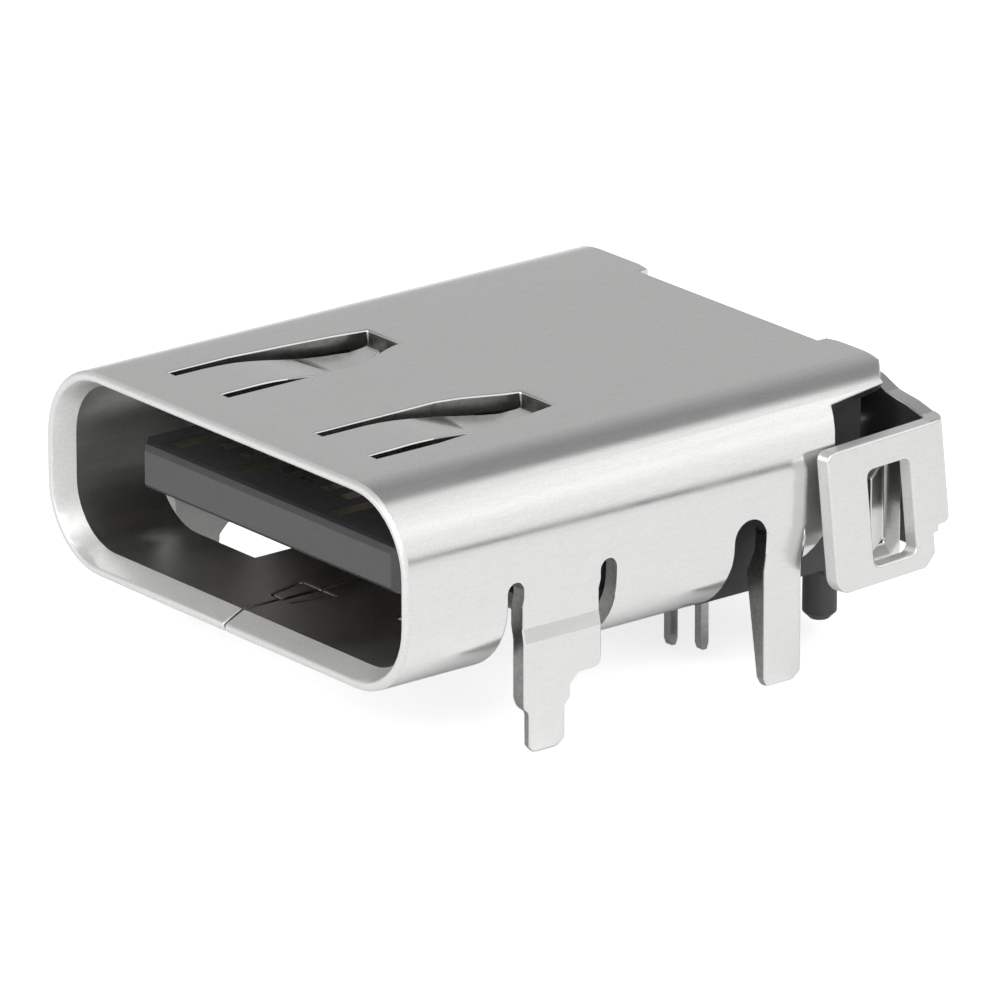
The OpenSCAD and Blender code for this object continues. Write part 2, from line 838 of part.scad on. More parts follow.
// ground at both ends and supply in the fourth and ninth places touch the plug first
function contact_front(i) =
    i == 1 || i == 4 || i == 9 || i == 12 ? early_front : signal_front;

// strip that runs back in the tongue's face, turns down and ends as a solder tail;
// gap widens it all round to make the opening it passes through
module contact_side(face, drop, tail, gap) {
    r = contact_r + gap;
    t = contact_t + 2 * gap;
    // turn down
    translate([drop - contact_r + contact_t, face - contact_r])
    quarter_ring(r, t, 1, 1);
    // upright
    translate([drop - gap, board_z + contact_r])
    square([t, face - board_z - 2 * contact_r]);
    // turn back along the board
    translate([drop + contact_r, board_z + contact_r])
    quarter_ring(r, t, -1, -1);
    translate([drop + contact_r, board_z - gap])
    square([tail - drop - contact_r, t]);
}

module bent_contact(face, front, drop, tail, gap) {
    low = face - contact_t - gap;
    t = contact_t + 2 * gap;
    along_x(-touch_w / 2 - gap, touch_w / 2 + gap)
    translate([front, low])
    square([root_front - front, t]);
    along_x(-tail_w / 2 - gap, tail_w / 2 + gap) {
        translate([root_front - 0.1, low])
        square([drop - contact_r + contact_t - root_front + 0.1, t]);
        contact_side(face, drop, tail, gap);
    }
}

module contact_a(i, gap = 0) {
    color(gold)
    translate([contact_x(i), 0, 0])
    bent_contact(tongue_t / 2, contact_front(i), upper_drop, upper_tail, gap);
}

module contact_b(i, gap = 0) {
    color(gold)
    translate([-contact_x(i), 0, 0])
    bent_contact(contact_t - tongue_t / 2, contact_front(i), lower_drop, lower_tail, gap);
}

module upper_row(gap) {
    for (i = [1:row_count])
        contact_a(i, gap);
}

module lower_row(gap) {
    for (i = [1:row_count])
        contact_b(i, gap);
}

// ---- middle plate

module board_pin(pos) {
    r = plate_t + 0.05;
    translate([pos[0] - pin_w / 2, 0, 0])
    along_x(0, pin_w) {
        translate([plate_rear - 0.1, -plate_t / 2])
        square([pos[1] + plate_t / 2 - r - plate_rear + 0.1, plate_t]);
        translate([pos[1] + plate_t / 2 - r, plate_t / 2 - r])
        quarter_ring(r, plate_t, 1, 1);
        polygon([
            [pos[1] - plate_t / 2, plate_t / 2 - r], [pos[1] + plate_t / 2, plate_t / 2 - r],
            [pos[1] + plate_t / 2, pin_tip_z + 0.1], [pos[1] + plate_t / 4, pin_tip_z],
            [pos[1] - plate_t / 4, pin_tip_z], [pos[1] - plate_t / 2, pin_tip_z + 0.1]
        ]);
    }
}

module latch_notch() {
    block([tongue_w / 2 - notch_depth, notch_front, -past],
        [tongue_w, notch_front + notch_len, past]);
}

module mid_plate() {
    color(plate_metal) {
        difference() {
            block([-plate_w / 2, carrier_front + 0.1, -plate_t / 2],
                [plate_w / 2, plate_rear, plate_t / 2]);
            both_sides()
            latch_notch();
        }
        both_sides()
        for (pos = pin_pos)
            board_pin(pos);
    }
}

// ---- carriers, the two moulded strips that hold the contact rows

module upper_carrier_block() {
    block([-carrier_w / 2, carrier_front, plate_t / 2],
        [carrier_w / 2, carrier_rear, tongue_t / 2]);
}

module lower_carrier_block() {
    block([-carrier_w / 2, carrier_front, -tongue_t / 2],
        [carrier_w / 2, lower_carrier_rear, -plate_t / 2]);
}

module upper_carrier() {
    color(black)
    difference() {
        upper_carrier_block();
        upper_row(0);
    }
}

module lower_carrier() {
    color(black)
    difference() {
        lower_carrier_block();
        lower_row(0);
    }
}

// ---- ground plates

module ground_plate() {
    top = root_t / 2 + ground_t;
    color(plate_metal) {
        block([-ground_w / 2, ground_front, root_t / 2], [ground_w / 2, ground_rear, top]);
        // lip over the front of the tongue's root
        block([-ground_w / 2, ground_front, tongue_t / 2 + 0.03],
            [ground_w / 2, root_front, root_t / 2 + ground_t / 2]);
        both_sides()
        translate([ground_rib_w, root_front + ground_rib_back, top])
        rotate([0, 90, 0])
        cylinder(r = ground_rib_r, h = ground_rib_w);
    }
}

module upper_ground_plate() {
    ground_plate();
}

module lower_ground_plate() {
    mirror([0, 0, 1])
    ground_plate();
}

// ---- housing, the black moulding that closes the shell and forms the tongue

module tongue() {
    c = tongue_chamfer;
    half = tongue_t / 2;
    side = tongue_w / 2;
    in = side - tongue_corner;
    intersection() {
        along_x(-side, side)
        polygon([
            [tongue_front + c, half], [root_front + 0.1, half], [root_front + 0.1, -half],
            [tongue_front + c, -half], [tongue_front, c - half], [tongue_front, half - c]
        ]);
        translate([0, 0, -half])
        linear_extrude(2 * half)
        polygon([
            [-side, root_front + 0.1], [-side, tongue_front + tongue_corner], [-in, tongue_front],
            [in, tongue_front], [side, tongue_front + tongue_corner], [side, root_front + 0.1]
        ]);
    }
}

module inner_section() {
    rounded_rect(2 * (inner_x - mould_gap), 2 * (inner_top - mould_gap), inner_r - mould_gap);
}

module base() {
    floor_z = -inner_top + mould_gap;
    along_y(flange_front, flange_front + flange_t)
    inner_section();
    intersection() {
        along_y(flange_front, base_rear)
        inner_section();
        block([-base_w / 2, 0, -past], [base_w / 2, base_rear, past]);
    }
    block([-base_w / 2, floor_len + 0.04, base_bottom], [base_w / 2, base_rear, 0]);
    // side ribs that meet the shell's walls behind the rear legs
    block([-rib_x, rear_leg_y + rear_leg_w + 0.05, -0.3],
        [rib_x, hook_y - 0.15, 0.3]);
    // stand-off pads that rest on the board
    both_sides()
    block([pad_in, pad_front, board_z], [pad_in + pad_w, pad_front + pad_len, base_bottom + 0.1]);
    both_sides()
    block([base_w / 2 - pad_w, pocket_rear + 0.1, board_z],
        [base_w / 2, base_rear, base_bottom + 0.1]);
}

module locating_post() {
    tip = board_z - post_below;
    translate([post_pitch / 2, post_y, tip]) {
        translate([0, 0, post_chamfer])
        cylinder(r = post_r, h = post_below - post_chamfer + 0.1);
        cylinder(r1 = post_r - post_chamfer, r2 = post_r, h = post_chamfer);
    }
}

module housing() {
    color(black)
    difference() {
        union() {
            tongue();
            block([-root_w / 2, root_front, -root_t / 2], [root_w / 2, flange_front + 0.1, root_t / 2]);
            base();
            both_sides()
            locating_post();
        }
        both_sides()
        latch_notch();
        // open pocket under the base for the lower row's tails
        block([-carrier_w / 2 - 0.05, pocket_front, -past],
            [carrier_w / 2 + 0.05, pocket_rear, pocket_top]);
        upper_carrier_block();
        lower_carrier_block();
        upper_row(contact_gap);
        lower_row(contact_gap);
        mid_plate();
        upper_ground_plate();
        lower_ground_plate();
    }
}

// ---- parts

shell();
rear_shield();
housing();
upper_carrier();
lower_carrier();
mid_plate();
upper_ground_plate();
lower_ground_plate();
contact_a(1);  // contact_a1
contact_a(2);  // contact_a2
contact_a(3);  // contact_a3
contact_a(4);  // contact_a4
contact_a(5);  // contact_a5
contact_a(6);  // contact_a6
contact_a(7);  // contact_a7
contact_a(8);  // contact_a8
contact_a(9);  // contact_a9
contact_a(10);  // contact_a10
contact_a(11);  // contact_a11
contact_a(12);  // contact_a12
contact_b(1);  // contact_b1
contact_b(2);  // contact_b2
contact_b(3);  // contact_b3
contact_b(4);  // contact_b4
contact_b(5);  // contact_b5
contact_b(6);  // contact_b6
contact_b(7);  // contact_b7
contact_b(8);  // contact_b8
contact_b(9);  // contact_b9
contact_b(10);  // contact_b10
contact_b(11);  // contact_b11
contact_b(12);  // contact_b12
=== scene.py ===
# %% [markdown]
# # A small receptacle of stamped metal, dressed for a studio picture
# The part is a board socket about ten millimetres long. A folded steel shell stands on
# four legs that go through the board, with a steel cover over its back. Inside are a
# black moulded body with a tongue, two rows of bent contacts and a few hidden strips.
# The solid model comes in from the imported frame, and this lesson only adds finish:
# softened sheet-metal edges, plating, moulded texture, contact rows, a floor, soft
# light and a camera.

import bmesh
import bpy
import math
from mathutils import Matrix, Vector
from mathutils.bvhtree import BVHTree
from mathutils.interpolate import poly_3d_calc
from mathutils.kdtree import KDTree


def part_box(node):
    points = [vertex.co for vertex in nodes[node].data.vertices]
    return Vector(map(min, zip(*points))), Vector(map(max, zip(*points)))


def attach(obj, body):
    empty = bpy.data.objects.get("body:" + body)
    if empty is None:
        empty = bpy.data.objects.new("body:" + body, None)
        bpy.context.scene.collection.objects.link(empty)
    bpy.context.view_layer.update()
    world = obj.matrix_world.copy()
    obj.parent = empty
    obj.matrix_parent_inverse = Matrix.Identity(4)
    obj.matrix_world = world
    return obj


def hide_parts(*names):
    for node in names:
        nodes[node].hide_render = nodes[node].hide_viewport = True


MM = 0.001
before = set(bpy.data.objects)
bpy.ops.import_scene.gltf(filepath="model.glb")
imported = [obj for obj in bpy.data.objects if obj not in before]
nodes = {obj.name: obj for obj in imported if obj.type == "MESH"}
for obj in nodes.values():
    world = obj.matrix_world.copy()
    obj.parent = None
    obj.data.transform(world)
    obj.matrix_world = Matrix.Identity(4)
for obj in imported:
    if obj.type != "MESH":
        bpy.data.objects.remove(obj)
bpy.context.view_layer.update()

# %% [markdown]
# ## Reading the sizes off the solids
# The table lies under the lowest leg tip and the tube's height is the shell's highest
# point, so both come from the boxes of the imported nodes. The tube's half width, the
# radius of its corners and the depth of the chamfer in its rim are sizes of the drawing.

# %% Sizes from the nodes
shell_low, shell_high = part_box("shell")
floor_height = min(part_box(name)[0].z for name in nodes)
SHELL_TOP = shell_high.z
SHELL_HALF_W = 4.47 * MM
CORNER_R = 1.28 * MM
LEAD_DEPTH = 0.36 * MM
print("shell in mm, low corner:", [round(v / MM, 2) for v in shell_low])
print("shell in mm, high corner:", [round(v / MM, 2) for v in shell_high])

# %% [markdown]
# ## Small helpers for shader trees
# A material is a tree of nodes joined by links. Writing the full chain each time hides
# what matters, so a few helpers add a node, join two sockets, do a sum, stretch a range,
# mix two colours and open a group.

# %% Helpers for nodes


def add(tree, kind, **settings):
    """A new node of this kind, with its plain settings and its input values set by name."""
    node = tree.nodes.new(kind)
    values = settings.pop("inputs", {})
    for name, value in settings.items():
        setattr(node, name, value)
    for name, value in values.items():
        node.inputs[name].default_value = value
    return node


def join(tree, start, end):
    tree.links.new(start, end)


def math_node(tree, operation, first, second, clamp=False):
    """A math node whose operands are sockets or numbers."""
    node = add(tree, "ShaderNodeMath", operation=operation, use_clamp=clamp)
    for slot, value in enumerate((first, second)):
        if isinstance(value, (int, float)):
            node.inputs[slot].default_value = value
        else:
            join(tree, value, node.inputs[slot])
    return node.outputs[0]


def spread(tree, value, low, high, to_low=0.0, to_high=1.0):
    """Maps a value's range low to high onto another range, held at its ends."""
    node = add(tree, "ShaderNodeMapRange", inputs={
        "From Min": low, "From Max": high, "To Min": to_low, "To Max": to_high})
    join(tree, value, node.inputs["Value"])
    return node.outputs["Result"]


def mix_colours(tree, factor, first, second):
    node = add(tree, "ShaderNodeMix", data_type="RGBA")
    join(tree, factor, node.inputs["Factor"])
    for socket, colour in ((node.inputs[6], first), (node.inputs[7], second)):
        if isinstance(colour, tuple):
            socket.default_value = (*colour, 1.0)
        else:
            join(tree, colour, socket)
    return node.outputs[2]


def new_group(name, inputs, outputs):
    """A shader group with named inputs and outputs; returns the tree and its two ends."""
    tree = bpy.data.node_groups.new(name, "ShaderNodeTree")
    for label, kind, value in inputs:
        socket = tree.interface.new_socket(name=label, in_out="INPUT", socket_type=kind)
        if value is not None:
            socket.default_value = value
    for label, kind in outputs:
        tree.interface.new_socket(name=label, in_out="OUTPUT", socket_type=kind)
    return tree, tree.nodes.new("NodeGroupInput"), tree.nodes.new("NodeGroupOutput")


print("helpers ready")

# %% [markdown]
# ## Rolled grain
# Steel strip comes off the mill with faint lines along the rolling direction and an
# even pepper of tiny pits under the plating. An image of real metal would give this,
# but noise stretched along one axis gives it at any distance. The group is built once
# and every metal places it with its own scale, so all sheets share one family look.

# %% Group: rolled grain
FLOAT = "NodeSocketFloat"
VECTOR = "NodeSocketVector"

grain_group, grain_in, grain_out = new_group(
    "Rolled_Grain",
    [("Place", VECTOR, None), ("Fineness", FLOAT, 9000.0), ("Stretch", FLOAT, 0.12)],
    [("Height", FLOAT)])
stretch_to = add(grain_group, "ShaderNodeCombineXYZ", inputs={"X": 1.0, "Z": 1.0})
join(grain_group, grain_in.outputs["Stretch"], stretch_to.inputs["Y"])
stretched = add(grain_group, "ShaderNodeVectorMath", operation="MULTIPLY")
join(grain_group, grain_in.outputs["Place"], stretched.inputs[0])
join(grain_group, stretch_to.outputs[0], stretched.inputs[1])
lines = add(grain_group, "ShaderNodeTexNoise", inputs={"Detail": 2.0, "Roughness": 0.5})
join(grain_group, stretched.outputs[0], lines.inputs["Vector"])
join(grain_group, grain_in.outputs["Fineness"], lines.inputs["Scale"])
pepper = add(grain_group, "ShaderNodeTexNoise", inputs={"Detail": 2.0, "Roughness": 0.5})
join(grain_group, grain_in.outputs["Place"], pepper.inputs["Vector"])
join(grain_group, grain_in.outputs["Fineness"], pepper.inputs["Scale"])
LINE_SHARE = 0.6
both = math_node(grain_group, "MULTIPLY_ADD", lines.outputs["Fac"], LINE_SHARE)
join(grain_group, pepper.outputs["Fac"], both.node.inputs[2])
join(grain_group, both, grain_out.inputs["Height"])
print("group", grain_group.name, "with", len(grain_group.nodes), "nodes")

# %% [markdown]
# ## Handling marks
# A plated shell that has been through a bowl feeder carries soft cloudy patches and a
# few hairline scratches. Drawn lines would repeat, so both masks come from noise: the
# clouds shift the roughness a little, and a hairline lies where a stretched noise
# crosses its own middle value.

# %% Group: handling marks
marks_group, marks_in, marks_out = new_group(
    "Handling_Marks",
    [("Place", VECTOR, None), ("Cloud Scale", FLOAT, 500.0), ("Scratch Scale", FLOAT, 900.0)],
    [("Clouds", FLOAT), ("Scratches", FLOAT)])
cloud = add(marks_group, "ShaderNodeTexNoise", inputs={"Detail": 2.0, "Distortion": 0.6})
join(marks_group, marks_in.outputs["Place"], cloud.inputs["Vector"])
join(marks_group, marks_in.outputs["Cloud Scale"], cloud.inputs["Scale"])
patches = spread(marks_group, cloud.outputs["Fac"], 0.35, 0.65)
join(marks_group, patches, marks_out.inputs["Clouds"])
turn = add(marks_group, "ShaderNodeMapping")
turn.inputs["Rotation"].default_value = (0.4, 0.2, 0.5)
turn.inputs["Scale"].default_value = (1.0, 0.06, 1.0)
join(marks_group, marks_in.outputs["Place"], turn.inputs["Vector"])
hair = add(marks_group, "ShaderNodeTexNoise", inputs={"Detail": 1.0})
join(marks_group, turn.outputs[0], hair.inputs["Vector"])
join(marks_group, marks_in.outputs["Scratch Scale"], hair.inputs["Scale"])
HAIR_MIDDLE, HAIR_WIDTH = 0.5, 0.012
off_middle = math_node(marks_group, "SUBTRACT", hair.outputs["Fac"], HAIR_MIDDLE)
near_middle = math_node(marks_group, "ABSOLUTE", off_middle, 0.0)
thin = spread(marks_group, near_middle, 0.0, HAIR_WIDTH, 1.0, 0.0)
rare = spread(marks_group, cloud.outputs["Fac"], 0.52, 0.6)
join(marks_group, math_node(marks_group, "MULTIPLY", thin, rare), marks_out.inputs["Scratches"])
print("group", marks_group.name, "with", len(marks_group.nodes), "nodes")

# %% [markdown]
# ## Moulded grain
# Glass-filled black plastic isn't smooth: the tool was spark-eroded, so the faces have
# a fine leathery grain with paler specks where fibres lie near the surface. Noise gives
# the grain and a tight Voronoi gives the specks.

# %% Group: moulded grain
mould_group, mould_in, mould_out = new_group(
    "Moulded_Grain",
    [("Place", VECTOR, None), ("Fineness", FLOAT, 7000.0)],
    [("Height", FLOAT), ("Specks", FLOAT)])
erosion = add(mould_group, "ShaderNodeTexNoise", inputs={"Detail": 5.0, "Roughness": 0.65})
join(mould_group, mould_in.outputs["Place"], erosion.inputs["Vector"])
join(mould_group, mould_in.outputs["Fineness"], erosion.inputs["Scale"])
fibre = add(mould_group, "ShaderNodeTexVoronoi", feature="F1")
join(mould_group, mould_in.outputs["Place"], fibre.inputs["Vector"])
FIBRE_FINENESS = 1.7
fibre_scale = math_node(mould_group, "MULTIPLY", mould_in.outputs["Fineness"], FIBRE_FINENESS)
join(mould_group, fibre_scale, fibre.inputs["Scale"])
join(mould_group, erosion.outputs["Fac"], mould_out.inputs["Height"])
specks = spread(mould_group, fibre.outputs["Distance"], 0.05, 0.18, 1.0, 0.0)
join(mould_group, specks, mould_out.inputs["Specks"])
print("group", mould_group.name, "with", len(mould_group.nodes), "nodes")

# %% [markdown]
# ## One recipe for every metal
# Bright plating, satin plating, cut edges and gold differ in a few numbers only: two
# tones, a roughness range and how deep the grain is. One function builds the tree and
# each metal calls it, so a change to the recipe reaches all of them. The satin metal
# also lowers its purity, which mixes in a matt share for edges that scatter light.

# %% Recipe: metal


SCRATCH_DULLS = 0.12
SCRATCH_CUTS = -0.5


def metal(name, pale, deep, smooth, rough, depth,
          fineness=26000.0, stretch=0.12, scratch=0.5, purity=1.0):
    """A Principled metal whose tone, roughness and relief come from the shared groups."""
    material = bpy.data.materials.new(name)
    material.use_nodes = True
    tree = material.node_tree
    shader = tree.nodes["Principled BSDF"]
    shader.inputs["Metallic"].default_value = purity
    place = add(tree, "ShaderNodeTexCoord").outputs["Object"]
    grain = add(tree, "ShaderNodeGroup", node_tree=grain_group,
                inputs={"Fineness": fineness, "Stretch": stretch})
    marks = add(tree, "ShaderNodeGroup", node_tree=marks_group)
    join(tree, place, grain.inputs["Place"])
    join(tree, place, marks.inputs["Place"])
    tone = spread(tree, grain.outputs["Height"], 0.55, 1.05)
    colour = mix_colours(tree, tone, deep, pale)
    join(tree, colour, shader.inputs["Base Color"])
    dull = spread(tree, marks.outputs["Clouds"], 0.0, 1.0, smooth, rough)
    lined = math_node(tree, "MULTIPLY_ADD", marks.outputs["Scratches"], SCRATCH_DULLS * scratch)
    join(tree, dull, lined.node.inputs[2])
    join(tree, lined, shader.inputs["Roughness"])
    relief = math_node(tree, "MULTIPLY_ADD", marks.outputs["Scratches"], SCRATCH_CUTS * scratch)
    join(tree, grain.outputs["Height"], relief.node.inputs[2])
    bump = add(tree, "ShaderNodeBump", inputs={"Strength": 1.0, "Distance": depth})
    join(tree, relief, bump.inputs["Height"])
    join(tree, bump.outputs[0], shader.inputs["Normal"])
    return material


print("recipe ready: metal")

# %% [markdown]
# ## The metals of this part
# The shell and the cover are plated steel. Their outsides are bright, the rim and the
# arms' cut edges are satin, and the inside of the tube is the same plating with a darker
# tone painted on as shade. A cut through the shell's strip shows bare, dull steel, and
# its tone is darkened further as painted shade. The plates under the shell take a dark
# tone as painted shade too. They stand in one cell, so that their tones and roughness
# are easy to compare.

# %% Metals
shell_plating = metal("Shell_Plating", (0.80, 0.798, 0.79), (0.74, 0.738, 0.732),
                      0.14, 0.2, 0.00025 * MM)
shield_plating = metal("Shield_Plating", (0.80, 0.798, 0.79), (0.74, 0.738, 0.73),
                       0.16, 0.22, 0.00025 * MM)
satin_plating = metal("Satin_Plating", (0.76, 0.758, 0.75), (0.68, 0.678, 0.67),
                      0.3, 0.4, 0.0004 * MM, scratch=0.2, purity=0.6)
# Inside of the tube: the plating toned darker, painted shade for the hollow.
shade_painted_inner_plating = metal("Inner_Plating_Painted_Shade", (0.64, 0.638, 0.63), (0.56, 0.558, 0.55),
                      0.28, 0.38, 0.0005 * MM, scratch=0.2)
# Cut faces: bare, dull steel whose tone is darkened further as painted shade.
sheared_edge_and_shade = metal("Sheared_Edge_And_Shade", (0.38, 0.378, 0.37), (0.28, 0.278, 0.27),
                     0.26, 0.36, 0.0008 * MM, fineness=14000.0, stretch=0.5, scratch=0.0)
# Plates: toned dark as painted shade, for the pins and strips under the shell.
shade_painted_spring_plate = metal("Spring_Plate_Painted_Shade", (0.48, 0.475, 0.465), (0.38, 0.375, 0.365),
                     0.24, 0.34, 0.0006 * MM)
for finish in (shell_plating, shield_plating, satin_plating, shade_painted_inner_plating, sheared_edge_and_shade, shade_painted_spring_plate):
    print("metal:", finish.name)

# %% [markdown]
# ## Black moulding
# The body is a heat-resistant plastic, dark and only half matt. Its colour stays above
# pure black, or every detail on the tongue would drown; the specks lift it here and
# there, and a low bump breaks up the highlights.

# %% Recipe: moulded plastic
ROUGH_SWING = 0.07


def moulding(name, body, speck, rough, depth, fineness=7000.0):
    """A Principled plastic with spark-eroded grain and pale fibre specks."""
    material = bpy.data.materials.new(name)
    material.use_nodes = True
    tree = material.node_tree
    shader = tree.nodes["Principled BSDF"]
    shader.inputs["IOR"].default_value = 1.55
    place = add(tree, "ShaderNodeTexCoord").outputs["Object"]
    grain = add(tree, "ShaderNodeGroup", node_tree=mould_group, inputs={"Fineness": fineness})
    join(tree, place, grain.inputs["Place"])
    colour = mix_colours(tree, grain.outputs["Specks"], body, speck)
    join(tree, colour, shader.inputs["Base Color"])
    dull = spread(tree, grain.outputs["Height"], 0.3, 0.7, rough - ROUGH_SWING, rough + ROUGH_SWING)
    join(tree, dull, shader.inputs["Roughness"])
    bump = add(tree, "ShaderNodeBump", inputs={"Strength": 1.0, "Distance": depth})
    join(tree, grain.outputs["Height"], bump.inputs["Height"])
    join(tree, bump.outputs[0], shader.inputs["Normal"])
    return material


body_moulding = moulding("Body_Moulding", (0.062, 0.062, 0.063), (0.10, 0.10, 0.10),
                         0.42, 0.003 * MM)
carrier_moulding = moulding("Carrier_Moulding", (0.045, 0.045, 0.046), (0.08, 0.08, 0.08),
                            0.4, 0.003 * MM)
print("plastics:", body_moulding.name, carrier_moulding.name)

# %% [markdown]
# ## Gold contacts with tinned feet
# A contact is gold-plated where it meets the plug and tin-plated where it is soldered.
# The strip is one piece, so the change is a line across it, at a set distance behind
# the mouth. Object coordinates carry the place, and the tin comes in over a narrow
# range, because a dipped plating line is never perfectly sharp.

# %% Material: contact plating
GOLD_END, TIN_START = 5.6 * MM, 5.75 * MM
TIN_TONE = (0.70, 0.69, 0.67)
contact_plating = metal("Contact_Plating", (0.60, 0.54, 0.42), (0.46, 0.40, 0.30),
                        0.22, 0.32, 0.0008 * MM)
tree = contact_plating.node_tree
shader = tree.nodes["Principled BSDF"]
gold_tone = shader.inputs["Base Color"].links[0].from_socket
where = add(tree, "ShaderNodeSeparateXYZ")
join(tree, add(tree, "ShaderNodeTexCoord").outputs["Object"], where.inputs[0])
tin_mask = spread(tree, where.outputs["Y"], GOLD_END, TIN_START)
join(tree, mix_colours(tree, tin_mask, gold_tone, TIN_TONE), shader.inputs["Base Color"])
print("material", contact_plating.name, "turns from gold to tin at", round(GOLD_END / MM, 2), "mm")

# %% [markdown]
# ## A clean copy of a solid
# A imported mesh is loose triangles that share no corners, and a bevel runs badly over
# them. So a copy has its doubles merged and its flat triangles joined to whole faces,
# concave ones cut so that they fill rightly. Edges sharper than a few degrees are marked
# as creases, which keeps flats flat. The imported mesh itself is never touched.

# %% Helper: merged copy
SAME_PLACE = 1e-7
FLAT_ANGLE = math.radians(0.5)
CRISP_ANGLE = math.radians(12)


def merged_copy(node, name):
    """A mesh object with the node's shape, its doubles merged and its flat faces joined."""
    shape = bmesh.new()
    shape.from_mesh(nodes[node].data)
    bmesh.ops.remove_doubles(shape, verts=shape.verts, dist=SAME_PLACE)
    bmesh.ops.dissolve_limit(shape, angle_limit=FLAT_ANGLE, verts=shape.verts, edges=shape.edges)
    bmesh.ops.connect_verts_concave(shape, faces=shape.faces)
    for edge in shape.edges:
        if len(edge.link_faces) == 2 and edge.calc_face_angle() > CRISP_ANGLE:
            edge.smooth = False
    mesh = bpy.data.meshes.new(name)
    shape.to_mesh(mesh)
    shape.free()
    piece = bpy.data.objects.new(name, mesh)
    bpy.context.scene.collection.objects.link(piece)
    return piece


def freeze(piece):
    """Turns a piece with live modifiers into a plain mesh."""
    bpy.context.view_layer.update()
    graph = bpy.context.evaluated_depsgraph_get()
    plain = bpy.data.meshes.new_from_object(
        piece.evaluated_get(graph), preserve_all_data_layers=True, depsgraph=graph)
    piece.modifiers.clear()
    piece.data = plain


print("copies keep creases over", round(math.degrees(CRISP_ANGLE)), "degrees")

# %% [markdown]
# ## Keeping the shading of the old faces
# A bevel turns the shading of every face it touches, and long flat panels then look
# dented. Each new face is looked up on the sharp copy. If it lies there, it takes the
# normals that place had: a flat face its own, a bent face the blend of its corners. The
# faces that lie nowhere on the old shape are the rounded strips, and they lean on the
# normals beside them.

# %% Helper: carry the normals over
SAME_WAY = 0.9995
STILL_FLAT = 0.9999
TRUSTED = 0.9
STRIP_TRUSTED = 0.6


def carry_normals(piece, source, finder):
    """Shades every face of the source as it was and lets only the bevel's strips turn."""
    mesh = piece.data
    corners = source.corner_normals
    wanted = [None] * len(mesh.loops)
    around = {}
    strips = []
    for polygon in mesh.polygons:
        spot, normal, index, gap = finder.find_nearest(polygon.center)
        if gap > SAME_PLACE or normal.dot(polygon.normal) < SAME_WAY:
            strips.append(polygon)
            continue
        origin = source.polygons[index]
        outline = [source.vertices[i].co for i in origin.vertices]
        old = [corners[corner].vector for corner in origin.loop_indices]
        curved = min(vector.dot(normal) for vector in old) < STILL_FLAT
        for loop in polygon.loop_indices:
            vertex = mesh.loops[loop].vertex_index
            turned = normal
            if curved:
                shares = poly_3d_calc(outline, mesh.vertices[vertex].co)
                blend = sum((vector * share for vector, share in zip(old, shares)), Vector())
                turned = blend.normalized()
            wanted[loop] = turned if turned.dot(normal) > TRUSTED else normal
            around.setdefault(vertex, []).append(wanted[loop])
    for polygon in strips:
        for loop in polygon.loop_indices:
            vertex = mesh.loops[loop].vertex_index
            choices = around.get(vertex, [mesh.vertices[vertex].normal])
            best = max(choices, key=lambda choice: choice.dot(polygon.normal))
            trusted = best.dot(polygon.normal) > STRIP_TRUSTED
            wanted[loop] = best if trusted else polygon.normal
    mesh.normals_split_custom_set(wanted)
    return strips


print("helper ready: carry_normals")

# %% [markdown]
# ## Catching stray corners
# Where an edge is shorter than the bevel is wide, the bevel throws a corner far off and
# leaves a spike. Clamping would shrink every other edge too. Instead, a corner that
# ended up off the old surface, or far from every old corner, goes back to the old
# corner nearest to its neighbours.

# %% Helper: pull stray corners back
OFF_SURFACE = 0.6
OFF_CORNERS = 4


def pull_back(mesh, source, finder, width):
    """Moves bevel corners that shot away to the old corner nearest to their neighbours."""
    corners = KDTree(len(source.vertices))
    for vertex in source.vertices:
        corners.insert(vertex.co, vertex.index)
    corners.balance()
    stray = {v.index for v in mesh.vertices
             if finder.find_nearest(v.co)[3] > OFF_SURFACE * width
             or corners.find(v.co)[2] > OFF_CORNERS * width}
    count = len(stray)
    beside = {index: set() for index in stray}
    for edge in mesh.edges:
        for here, there in (edge.vertices, reversed(edge.vertices)):
            if here in stray:
                beside[here].add(there)
    while stray:
        ready = {index: beside[index] - stray for index in stray}
        ready = {index: near for index, near in ready.items() if near}
        if not ready:
            break
        for index, near in ready.items():
            middle = sum((mesh.vertices[i].co for i in near), Vector()) / len(near)
            mesh.vertices[index].co = corners.find(middle)[0]
        stray -= set(ready)
    return count


print("helper ready: pull_back")

# %% [markdown]
# ## Softening the edges of stamped sheet
# Blanking and bending leave no knife edge on real sheet: one side of a cut rolls over
# and the other keeps a tiny burr, so each edge catches its own thin highlight. The
# solids have sharp edges, and a bevel of two steps gives the roll-over. Plating runs
# round a soft edge, so strips by the outer face may take the plating's material.

# %% Helper: soften and dress a piece
BEVEL_ANGLE = math.radians(28)
BEVEL_STEPS = 2


def soften(piece, width, plated=None):
    """Rounds a piece's edges; strips whose centre passes the test take the first material."""
    for polygon in piece.data.polygons:
        polygon.use_smooth = True
    source = piece.data.copy()
    places = [vertex.co for vertex in source.vertices]
    finder = BVHTree.FromPolygons(places, [list(face.vertices) for face in source.polygons])
    bevel = piece.modifiers.new("roll_over", "BEVEL")
    bevel.width = width
    bevel.segments = BEVEL_STEPS
    bevel.limit_method = "ANGLE"
    bevel.angle_limit = BEVEL_ANGLE
    bevel.use_clamp_overlap = False
    bevel.loop_slide = False
    freeze(piece)
    pulled = pull_back(piece.data, source, finder, width)
    strips = carry_normals(piece, source, finder)
    for polygon in strips:
        if plated and plated(polygon.center):
            polygon.material_index = 0
    print(piece.name, "faces in the rounded edges:", len(strips), "corners pulled back:", pulled)
    bpy.data.meshes.remove(source)
    return piece


